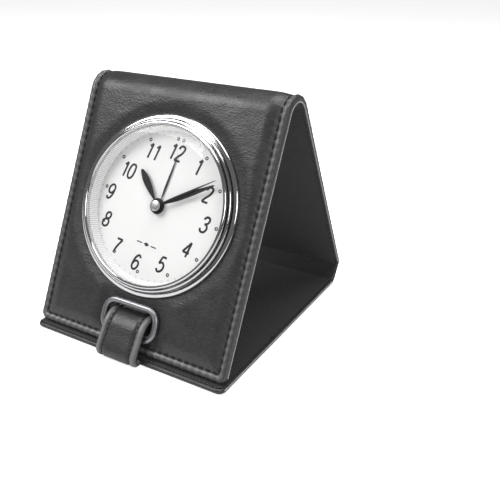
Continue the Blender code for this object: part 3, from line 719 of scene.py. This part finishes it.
# Middle of each numeral on the dial, 1 to 12, in millimetres right of and above the dial's middle
NUMERAL_PLACES = ((10.1, 17.0), (16.8, 9.5), (19.4, -0.1), (15.9, -10.0), (8.2, -18.2), (-1.8, -21.0),
                  (-11.6, -18.5), (-19.4, -11.0), (-21.4, -1.2), (-17.0, 8.1), (-9.3, 17.0), (-0.1, 19.3))
SLANT = 0.16
DIGIT_WIDTH = 0.5
DIGIT_ADVANCE = 0.56


def numeral_lines(text, middle):
    """The strokes of a numeral about its middle on the dial."""
    lines = []
    for index, digit in enumerate(text):
        shift = (index - (len(text) - 1) / 2) * DIGIT_ADVANCE - DIGIT_WIDTH / 2
        for curved, points in DIGITS[digit]:
            stroke = [Vector((x, y, 0)) for x, y in points]
            strokes = [smooth_path(stroke, 5)] if curved else zip(stroke, stroke[1:])
            for run in strokes:
                lines.append([(middle[0] + (p.x + shift + SLANT * (p.y - 0.5)) * NUMERAL_HEIGHT,
                               middle[1] + (p.y - 0.5) * NUMERAL_HEIGHT) for p in run])
    return lines


def on_dial(radius, hours):
    angle = math.pi / 2 - hours / 12 * math.tau
    return (radius * math.cos(angle), radius * math.sin(angle))


def tick(radius, length, width, hours):
    """A thin rectangle across the dial's edge."""
    angle = math.pi / 2 - hours / 12 * math.tau
    way = Vector((math.cos(angle), math.sin(angle)))
    side = Vector((-way.y, way.x)) * width / 2
    near, far = way * radius, way * (radius + length)
    return [tuple(p) for p in (near - side, far - side, far + side, near + side)]


def dial():
    """The dial's plate and everything printed on it."""
    turned_dial = CLOCK @ Matrix.Rotation(DIAL_TURN, 4, "Z")
    plate = flat_mesh("dial_plate", [circle(27.9 * MM)], DIAL_TOP, 0.4 * MM)
    fit(plate, turned_dial, "front", MATERIALS["dial"], "dial")
    lines = []
    for hour, (across, up) in enumerate(NUMERAL_PLACES, 1):
        lines += numeral_lines(str(hour), (across * MM, up * MM))
    numerals = curve_object("numerals", lines, NUMERAL_STROKE / 2, flat=0.06)
    lifted = turned_dial @ Matrix.Translation((0, 0, DIAL_TOP + 0.015 * MM))
    fit(numerals, lifted, "front", MATERIALS["print"])
    middles = [on_dial(MARKER_CIRCLE, hour) for hour in range(1, 12)]
    middles += [(side * MARKER_SPREAD, MARKER_CIRCLE) for side in (-1, 1)]
    rings = [circle(MARKER_RADIUS, 20, middle) for middle in middles]
    markers = curve_object("hour_markers", rings, MARKER_WIRE, cyclic=True, flat=0.15)
    fit(markers, lifted, "front", MATERIALS["print"])
    ticks = [tick(TICK_CIRCLE, TICK_LENGTH, TICK_WIDTH, minute / 5) for minute in range(60)]
    minutes = flat_mesh("minute_ticks", ticks, 0.01 * MM)
    fit(minutes, lifted, "front", MATERIALS["faint_print"])
    diamond = [(1.2 * MM, 0), (0, 0.75 * MM), (-1.2 * MM, 0), (0, -0.75 * MM)]
    bars = [[(side * 1.9 * MM, -0.2 * MM), (side * 4.2 * MM, -0.2 * MM), (side * 4.2 * MM, 0.2 * MM),
             (side * 1.9 * MM, 0.2 * MM)] for side in (-1, 1)]
    shapes = [[(x, y - ORNAMENT_DROP) for x, y in shape] for shape in [diamond] + bars]
    ornament = flat_mesh("dial_ornament", shapes, 0.01 * MM)
    fit(ornament, lifted, "front", MATERIALS["print"])


def dial_ring():
    """The ribbed ring between the dial and the lens."""
    profile = [(28.2, 2.2), (28.2, -1.1), (26.2, -1.1), (26.5, -0.5), (27.0, 0.8), (27.3, 2.2)]
    fit(turned("rehaut", profile), CLOCK, "front", MATERIALS["ribbed"], "dial_ring")


def leaf(length, half_width, hub, broadest):
    """A hand's outline up Y from its hub, swelling to its half width at the broadest share."""
    neck = 0.3 * half_width
    start = math.asin(min(0.9, neck / hub))
    round_hub = [(hub * math.cos(a), hub * math.sin(a))
                 for a in (math.pi / 2 + start + (math.tau - 2 * start) * i / 40 for i in range(41))]
    right = []
    for i in range(1, 25):
        share = i / 25
        swell = math.sin(math.pi * min(1.0, share / (2 * broadest))) if share < broadest else \
            math.cos(math.pi / 2 * (share - broadest) / (1 - broadest))
        wide = neck + (half_width - neck) * max(0.0, swell)
        right.append((wide * (1 if share < 0.97 else 0.6), hub + (length - hub) * share))
    return round_hub + right + [(0, length)] + [(-x, y) for x, y in reversed(right)]


def hand(name, cad_node, body, size, hub, broadest):
    """size is length, half width, top height and the hour it points at."""
    length, half_width, top, hour = size
    turn = Matrix.Rotation(DIAL_TURN - hour / 12 * math.tau, 4, "Z")
    obj = flat_mesh(name, [leaf(length * MM, half_width * MM, hub * MM, broadest)], top * MM, 0.16 * MM)
    rounding = obj.modifiers.new("edge", "BEVEL")
    rounding.width = 0.05 * MM
    rounding.segments = 2
    fit(obj, CLOCK @ turn, body, MATERIALS["hand"], cad_node)


def hands():
    hand("alarm_pointer", "alarm_hand", "alarm", (18.9, 0.38, -0.7, 0.1), 2.4, 0.3)
    hand("hour_pointer", "hour_hand", "hour", (15, 1.35, -0.05, 10.42), 2.8, 0.62)
    hand("minute_pointer", "minute_hand", "minute", (23.2, 0.95, 0.55, 1.84), 2.6, 0.36)
    hand("second_pointer", "second_hand", "second", (24.4, 0.36, 1.15, 1.74), 2.0, 0.3)
    cap = [(0, 1.85), (0.8, 1.83), (1.4, 1.75), (1.75, 1.6), (1.9, 1.3), (0, 1.3)]
    fit(turned("hub_cap", cap, 48), CLOCK, "second", MATERIALS["silver"], "second_cap")


# Materials

def new_material(name, colour, roughness, metallic=0.0):
    made = bpy.data.materials.new(name)
    made.use_nodes = True
    shader = made.node_tree.nodes["Principled BSDF"]
    shader.inputs["Base Color"].default_value = (*colour, 1)
    shader.inputs["Roughness"].default_value = roughness
    shader.inputs["Metallic"].default_value = metallic
    MATERIALS[name] = made
    return made.node_tree, shader


def node(tree, kind, **values):
    """A node with its inputs and settings given by name."""
    made = tree.nodes.new(kind)
    for key, value in values.items():
        if key in made.inputs:
            made.inputs[key].default_value = value
        else:
            setattr(made, key, value)
    return made


def coordinates(tree, source, scale):
    mapping = node(tree, "ShaderNodeMapping", Scale=scale)
    tree.links.new(node(tree, "ShaderNodeTexCoord").outputs[source], mapping.inputs["Vector"])
    return mapping.outputs["Vector"]


def spread(tree, value, low, high):
    """A texture's usual 0.3 to 0.7 turned into low to high."""
    ramp = node(tree, "ShaderNodeMapRange")
    ramp.inputs["From Min"].default_value = 0.3
    ramp.inputs["From Max"].default_value = 0.7
    ramp.inputs["To Min"].default_value = low
    ramp.inputs["To Max"].default_value = high
    tree.links.new(value, ramp.inputs["Value"])
    return ramp.outputs["Result"]


def relief(tree, shader, layers):
    """Bump from several (height socket, depth in metres), one over the other."""
    normal = None
    for height, depth in layers:
        made = node(tree, "ShaderNodeBump", Distance=depth, Strength=1.0)
        tree.links.new(height, made.inputs["Height"])
        if normal is not None:
            tree.links.new(normal, made.inputs["Normal"])
        normal = made.outputs["Normal"]
    tree.links.new(normal, shader.inputs["Normal"])


# The colour sockets of a Mix node, by number because their names repeat
MIX_FIRST, MIX_SECOND, MIX_RESULT = 6, 7, 2


def tint(tree, shader, value, dark, light):
    """A base colour between dark and light, by value."""
    mix = node(tree, "ShaderNodeMix", data_type="RGBA")
    mix.inputs[MIX_FIRST].default_value = (*dark, 1)
    mix.inputs[MIX_SECOND].default_value = (*light, 1)
    tree.links.new(value, mix.inputs["Factor"])
    tree.links.new(mix.outputs[MIX_RESULT], shader.inputs["Base Color"])


def leather_material():
    """Glazed black leather: fine pebbles, short streaks across the strip, and a painted highlight on the
    rolled edges.
    """
    tree, shader = new_material("leather", (0.018, 0.018, 0.019), 0.4)
    streak = node(tree, "ShaderNodeTexNoise", Scale=1.0, Detail=3.0, Roughness=0.6)
    tree.links.new(coordinates(tree, "UV", (0.55, 1.7, 1)), streak.inputs["Vector"])
    pebble = node(tree, "ShaderNodeTexVoronoi", Scale=1.9, feature="SMOOTH_F1")
    tree.links.new(coordinates(tree, "UV", (0.8, 1.2, 1)), pebble.inputs["Vector"])
    broad = node(tree, "ShaderNodeTexNoise", Scale=0.12, Detail=2.0)
    tree.links.new(coordinates(tree, "UV", (1, 1, 1)), broad.inputs["Vector"])
    relief(tree, shader, ((streak.outputs["Fac"], 0.06 * MM), (pebble.outputs["Distance"], 0.06 * MM)))
    tree.links.new(spread(tree, broad.outputs["Fac"], 0.33, 0.46), shader.inputs["Roughness"])
    shade = spread(tree, streak.outputs["Fac"], 0.0, 1.0)
    tint(tree, shader, shade, (0.012, 0.012, 0.013), (0.028, 0.028, 0.029))
    # A light grey mixed into the colour by the vertex attribute: a painted highlight on the rolled edges and
    # the strap's edges
    highlight_mix = node(tree, "ShaderNodeMix", data_type="RGBA")
    highlight_mix.inputs[MIX_SECOND].default_value = (0.135, 0.135, 0.137, 1)
    tree.links.new(shader.inputs["Base Color"].links[0].from_socket, highlight_mix.inputs[MIX_FIRST])
    highlight_source = node(tree, "ShaderNodeAttribute", attribute_name="painted_highlight")
    tree.links.new(highlight_source.outputs["Fac"], highlight_mix.inputs["Factor"])
    tree.links.new(highlight_mix.outputs[MIX_RESULT], shader.inputs["Base Color"])
    shader.inputs["Specular IOR Level"].default_value = 0.42


def twill_material():
    """Black lining cloth with diagonal ribs."""
    tree, shader = new_material("twill", (0.02, 0.02, 0.021), 0.75)
    ribs = node(tree, "ShaderNodeTexWave", Scale=0.5, Distortion=0.6, bands_direction="DIAGONAL")
    ribs.inputs["Detail Scale"].default_value = 3.0
    tree.links.new(coordinates(tree, "UV", (0.9, 0.9, 1)), ribs.inputs["Vector"])
    relief(tree, shader, ((ribs.outputs["Fac"], 0.12 * MM),))
    tint(tree, shader, ribs.outputs["Fac"], (0.008, 0.008, 0.009), (0.03, 0.03, 0.031))
    shader.inputs["Sheen Weight"].default_value = 0.15


def plain_material(name, colour, roughness, metallic, scale, depth, lighter=1.15):
    """A surface with a slight mottle and unevenness at a scale in features per metre."""
    tree, shader = new_material(name, colour, roughness, metallic)
    grain = node(tree, "ShaderNodeTexNoise", Scale=scale, Detail=2.0)
    tree.links.new(coordinates(tree, "Object", (1, 1, 1)), grain.inputs["Vector"])
    tint(tree, shader, spread(tree, grain.outputs["Fac"], 0.0, 1.0), tuple(c / lighter for c in colour),
         tuple(min(1.0, c * lighter) for c in colour))
    if depth:
        relief(tree, shader, ((grain.outputs["Fac"], depth),))
    return shader


def ribbed_material():
    """Silver paint with fine radial ribs, by the angle round the dial's axis, and a faint glow: painted
    light that lifts the shade on its inner wall.
    """
    tree, shader = new_material("ribbed", (0.7, 0.7, 0.71), 0.45)
    split = node(tree, "ShaderNodeSeparateXYZ")
    tree.links.new(node(tree, "ShaderNodeTexCoord").outputs["Object"], split.inputs["Vector"])
    angle = node(tree, "ShaderNodeMath", operation="ARCTAN2")
    tree.links.new(split.outputs["X"], angle.inputs[0])
    tree.links.new(split.outputs["Y"], angle.inputs[1])
    ribs = node(tree, "ShaderNodeMath", operation="MULTIPLY")
    ribs.inputs[1].default_value = RIB_COUNT
    tree.links.new(angle.outputs[0], ribs.inputs[0])
    wave = node(tree, "ShaderNodeMath", operation="SINE")
    tree.links.new(ribs.outputs[0], wave.inputs[0])
    relief(tree, shader, ((wave.outputs[0], 0.05 * MM),))
    tint(tree, shader, spread(tree, wave.outputs[0], 0.0, 1.0), (0.5, 0.5, 0.5), (0.82, 0.82, 0.82))
    # A faint white glow, painted light over the shade on the ring's inner wall
    shader.inputs["Emission Color"].default_value = (1, 1, 1, 1)
    shader.inputs["Emission Strength"].default_value = 0.12


def lens_material():
    """Clear acrylic: it lets nearly all light through and mirrors a little from outside, more at a slant."""
    made = bpy.data.materials.new("lens")
    made.use_nodes = True
    tree = made.node_tree
    tree.nodes.remove(tree.nodes["Principled BSDF"])
    clear = node(tree, "ShaderNodeBsdfTransparent")
    clear.inputs["Color"].default_value = (0.985, 0.985, 0.985, 1)
    gloss = node(tree, "ShaderNodeBsdfGlossy")
    gloss.inputs["Roughness"].default_value = 0.03
    mix = node(tree, "ShaderNodeMixShader")
    outer = node(tree, "ShaderNodeMath", operation="SUBTRACT")
    outer.inputs[0].default_value = 1.0
    tree.links.new(node(tree, "ShaderNodeNewGeometry").outputs["Backfacing"], outer.inputs[1])
    share = node(tree, "ShaderNodeMath", operation="MULTIPLY")
    tree.links.new(node(tree, "ShaderNodeFresnel", IOR=1.3).outputs[0], share.inputs[0])
    tree.links.new(outer.outputs[0], share.inputs[1])
    tree.links.new(share.outputs[0], mix.inputs[0])
    tree.links.new(clear.outputs[0], mix.inputs[1])
    tree.links.new(gloss.outputs[0], mix.inputs[2])
    tree.links.new(mix.outputs[0], tree.nodes["Material Output"].inputs["Surface"])
    MATERIALS["lens"] = made


def make_materials():
    leather_material()
    twill_material()
    ribbed_material()
    lens_material()
    plain_material("thread", (0.004, 0.004, 0.004), 0.8, 0.0, 4000, 0.03 * MM)
    # edge: light grey, a painted highlight along the black turned edges
    plain_material("edge", (0.34, 0.34, 0.35), 0.35, 0.0, 900, 0.03 * MM)
    plain_material("chrome", (0.52, 0.52, 0.53), 0.1, 1.0, 300, 0.0, 1.02)
    plain_material("gunmetal", (0.24, 0.24, 0.25), 0.4, 1.0, 600, 0.0, 1.08)
    plain_material("silver", (0.5, 0.5, 0.51), 0.38, 1.0, 400, 0.0, 1.03)
    plain_material("steel", (0.55, 0.55, 0.56), 0.3, 1.0, 400, 0.0)
    plain_material("brass", (0.7, 0.52, 0.25), 0.3, 1.0, 400, 0.0)
    plain_material("copper", (0.72, 0.36, 0.2), 0.35, 1.0, 800, 0.0)
    plain_material("dial", (0.7, 0.7, 0.695), 0.5, 0.0, 120, 0.0, 1.01)
    plain_material("print", (0.012, 0.012, 0.013), 0.45, 0.0, 900, 0.0)
    plain_material("faint_print", (0.3, 0.3, 0.3), 0.5, 0.0, 900, 0.0)
    plain_material("hand", (0.01, 0.01, 0.011), 0.3, 0.0, 500, 0.0)
    plain_material("plastic", (0.022, 0.022, 0.024), 0.42, 0.0, 2500, 0.02 * MM)
    plain_material("gear", (0.75, 0.73, 0.66), 0.5, 0.0, 500, 0.0, 1.05)
    plain_material("board", (0.36, 0.33, 0.28), 0.9, 0.0, 900, 0.05 * MM)
    plain_material("foam", (0.12, 0.12, 0.12), 0.95, 0.0, 3000, 0.1 * MM)
    plain_material("green_board", (0.05, 0.2, 0.1), 0.5, 0.0, 700, 0.0)
    plain_material("floor", (0.86, 0.86, 0.86), 0.7, 0.0, 6, 0.0, 1.01)
    plain_material("card", (0.01, 0.01, 0.01), 0.9, 0.0, 6, 0.0)


# The record's material slots that take a material of another name here
RENAMED_SLOTS = {"lining": "twill", "dial_white": "dial", "hand_black": "hand", "black_plastic": "plastic",
                 "gear_plastic": "gear"}


def dress_cad_nodes():
    """The movement and the small metal stay as the CAD made them, with these materials."""
    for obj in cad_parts.values():
        for slot in obj.material_slots:
            if slot.material:
                key = slot.material.name.split(".")[0]
                slot.material = MATERIALS[RENAMED_SLOTS.get(key, key)]


# Studio

def aim(obj, place, target, axis):
    """Puts the object at a place with its axis towards the target."""
    obj.location = place
    obj.rotation_euler = (Vector(target) - Vector(place)).to_track_quat(axis, "Y").to_euler()


def area_light(name, place, target, size, energy):
    """A square lamp, its size in metres and its energy in watts."""
    data = bpy.data.lights.new(name, "AREA")
    data.shape = "SQUARE"
    data.size = size
    data.energy = energy
    aim(add_object(name, data), place, target, "-Z")


def floor():
    """A pale floor that glows to the camera only, so that it comes out as white as the photograph's."""
    bm = bmesh.new()
    bmesh.ops.create_grid(bm, x_segments=1, y_segments=1, size=8)
    obj = finish_mesh("floor", bm)
    obj.location = (0, 0, -FLOOR_DROP)
    tree = MATERIALS["floor"].node_tree
    shader = tree.nodes["Principled BSDF"]
    shader.inputs["Emission Color"].default_value = (1, 1, 1, 1)
    glow = node(tree, "ShaderNodeMapRange")
    glow.inputs["To Max"].default_value = FLOOR_GLOW
    tree.links.new(node(tree, "ShaderNodeLightPath").outputs["Is Camera Ray"], glow.inputs["Value"])
    tree.links.new(glow.outputs["Result"], shader.inputs["Emission Strength"])
    obj.data.materials.append(MATERIALS["floor"])


def dark_card(name, place, target, width, height):
    """A black card that shows only in reflections."""
    bm = bmesh.new()
    bmesh.ops.create_grid(bm, x_segments=1, y_segments=1, size=0.5)
    obj = finish_mesh(name, bm)
    obj.scale = (width, height, 1)
    aim(obj, place, target, "Z")
    obj.data.materials.append(MATERIALS["card"])
    obj.visible_camera = False
    obj.visible_diffuse = False
    obj.visible_shadow = False


def studio():
    """The floor, three lamps, two dark cards, and a world that is white to the camera but dim as a light."""
    floor()
    world = bpy.data.worlds.new("studio")
    bpy.context.scene.world = world
    world.use_nodes = True
    tree = world.node_tree
    background = tree.nodes["Background"]
    background.inputs["Color"].default_value = (1, 1, 1, 1)
    strength = node(tree, "ShaderNodeMapRange")
    strength.inputs["To Min"].default_value = WORLD_LIGHT
    tree.links.new(node(tree, "ShaderNodeLightPath").outputs["Is Camera Ray"], strength.inputs["Value"])
    tree.links.new(strength.outputs["Result"], background.inputs["Strength"])
    middle = (0, 0, 0.04)
    area_light("key", (-0.35, -0.35, 0.55), middle, 0.35, 4.2)
    area_light("top", (0.05, 0.1, 0.7), middle, 0.5, 4.5)
    area_light("side", (0.45, -0.35, 0.35), middle, 0.25, 1.4)
    dark_card("card_right", (0.42, -0.12, 0.06), middle, 0.3, 0.3)
    dark_card("card_low", (-0.1, -0.5, 0.02), middle, 0.5, 0.12)
    bpy.context.scene.view_settings.view_transform = "Standard"


def camera():
    """The photograph's view, from the fitted yaw, pitch and roll."""
    yaw, pitch, roll = (math.radians(degrees) for degrees in CAMERA_TURNS)
    ahead = Vector((-math.sin(yaw) * math.cos(pitch), math.cos(yaw) * math.cos(pitch), -math.sin(pitch)))
    level = Vector((math.cos(yaw), math.sin(yaw), 0))
    above = level.cross(ahead)
    right = math.cos(roll) * level + math.sin(roll) * above
    up = math.cos(roll) * above - math.sin(roll) * level
    data = bpy.data.cameras.new("photo_camera")
    data.lens = CAMERA_LENS
    data.sensor_width = 36
    data.shift_x, data.shift_y = CAMERA_SHIFT
    data.clip_start = 0.01
    obj = add_object("photo_camera", data)
    turn = Matrix((right, up, -ahead)).transposed().to_4x4()
    obj.matrix_world = Matrix.Translation(CAMERA_PLACE) @ turn
    bpy.context.scene.camera = obj


MATERIALS = {}
make_materials()
leather_strip()
inner_lining()
strip_stitches()
edge_welts()
strap()
keeper()
slot_ring()
bezel()
lens()
dial()
dial_ring()
hands()
dress_cad_nodes()
studio()
camera()
